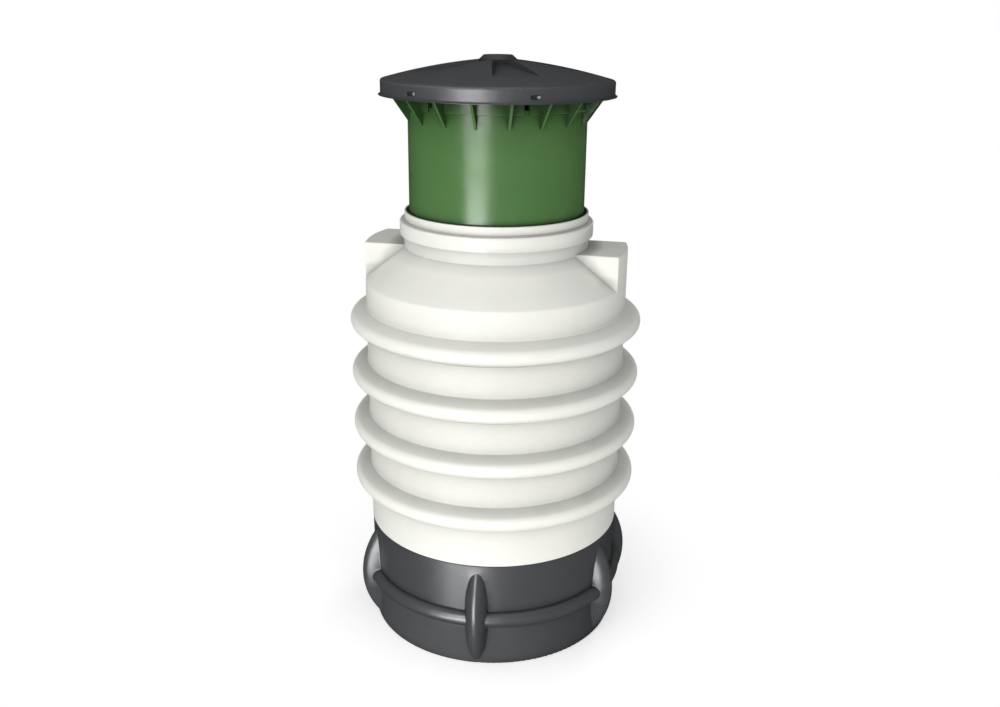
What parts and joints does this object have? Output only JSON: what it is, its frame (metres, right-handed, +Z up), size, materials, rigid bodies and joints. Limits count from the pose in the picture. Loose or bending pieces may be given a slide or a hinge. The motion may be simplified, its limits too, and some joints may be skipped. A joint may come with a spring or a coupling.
{
  "type": "spring water chamber",
  "caption": "Buried plastic spring water chamber: ribbed dark base, white ringed barrel with two shoulder lugs, green telescopic access riser and a domed lift-off lid.",
  "frame": {"origin": "centre of the base's underside, on the floor", "axes": "+Z up the chamber, -Y to the front rib of the base, +X to the side of the right lug, which sits 5.4 degrees forward of it"},
  "size_m": [1.0736, 1.0736, 2.135],
  "materials": {
    "dark_plastic": "satin, faint moulding grain",
    "white_plastic": "satin, fine moulding grain",
    "green_plastic": "satin",
    "seal_rubber": "matt",
    "screw_steel": "brushed"
  },
  "bodies": {
    "chamber": {"base_floor": "dark_plastic", "base_wall_front": "dark_plastic", "base_wall_front_right": "dark_plastic", "base_wall_rear_right": "dark_plastic", "base_wall_rear": "dark_plastic", "base_wall_rear_left": "dark_plastic", "base_wall_front_left": "dark_plastic", "joint_ring_front": "seal_rubber", "joint_ring_right": "seal_rubber", "joint_ring_rear": "seal_rubber", "joint_ring_left": "seal_rubber", "barrel_front": "white_plastic", "barrel_right": "white_plastic", "barrel_rear": "white_plastic", "barrel_left": "white_plastic", "shoulder_front": "white_plastic", "shoulder_right": "white_plastic", "shoulder_rear": "white_plastic", "shoulder_left": "white_plastic", "neck_collar": "white_plastic", "neck_seal": "seal_rubber"},
    "riser": {"riser_tube": "green_plastic", "riser_head": "green_plastic"},
    "lid": {"lid_skirt": "dark_plastic", "lid_dome": "dark_plastic", "lid_hub": "dark_plastic", "lid_screws": "screw_steel"}
  },
  "joints": [
    {"name": "riser_slide", "type": "slide", "parent": "chamber", "child": "riser", "axis": [0, 0, 1], "range_m": [-0.2, 0.1]},
    {"name": "lid_lift", "type": "slide", "parent": "riser", "child": "lid", "axis": [0, 0, 1], "range_m": [0, 0.5]}
  ]
}
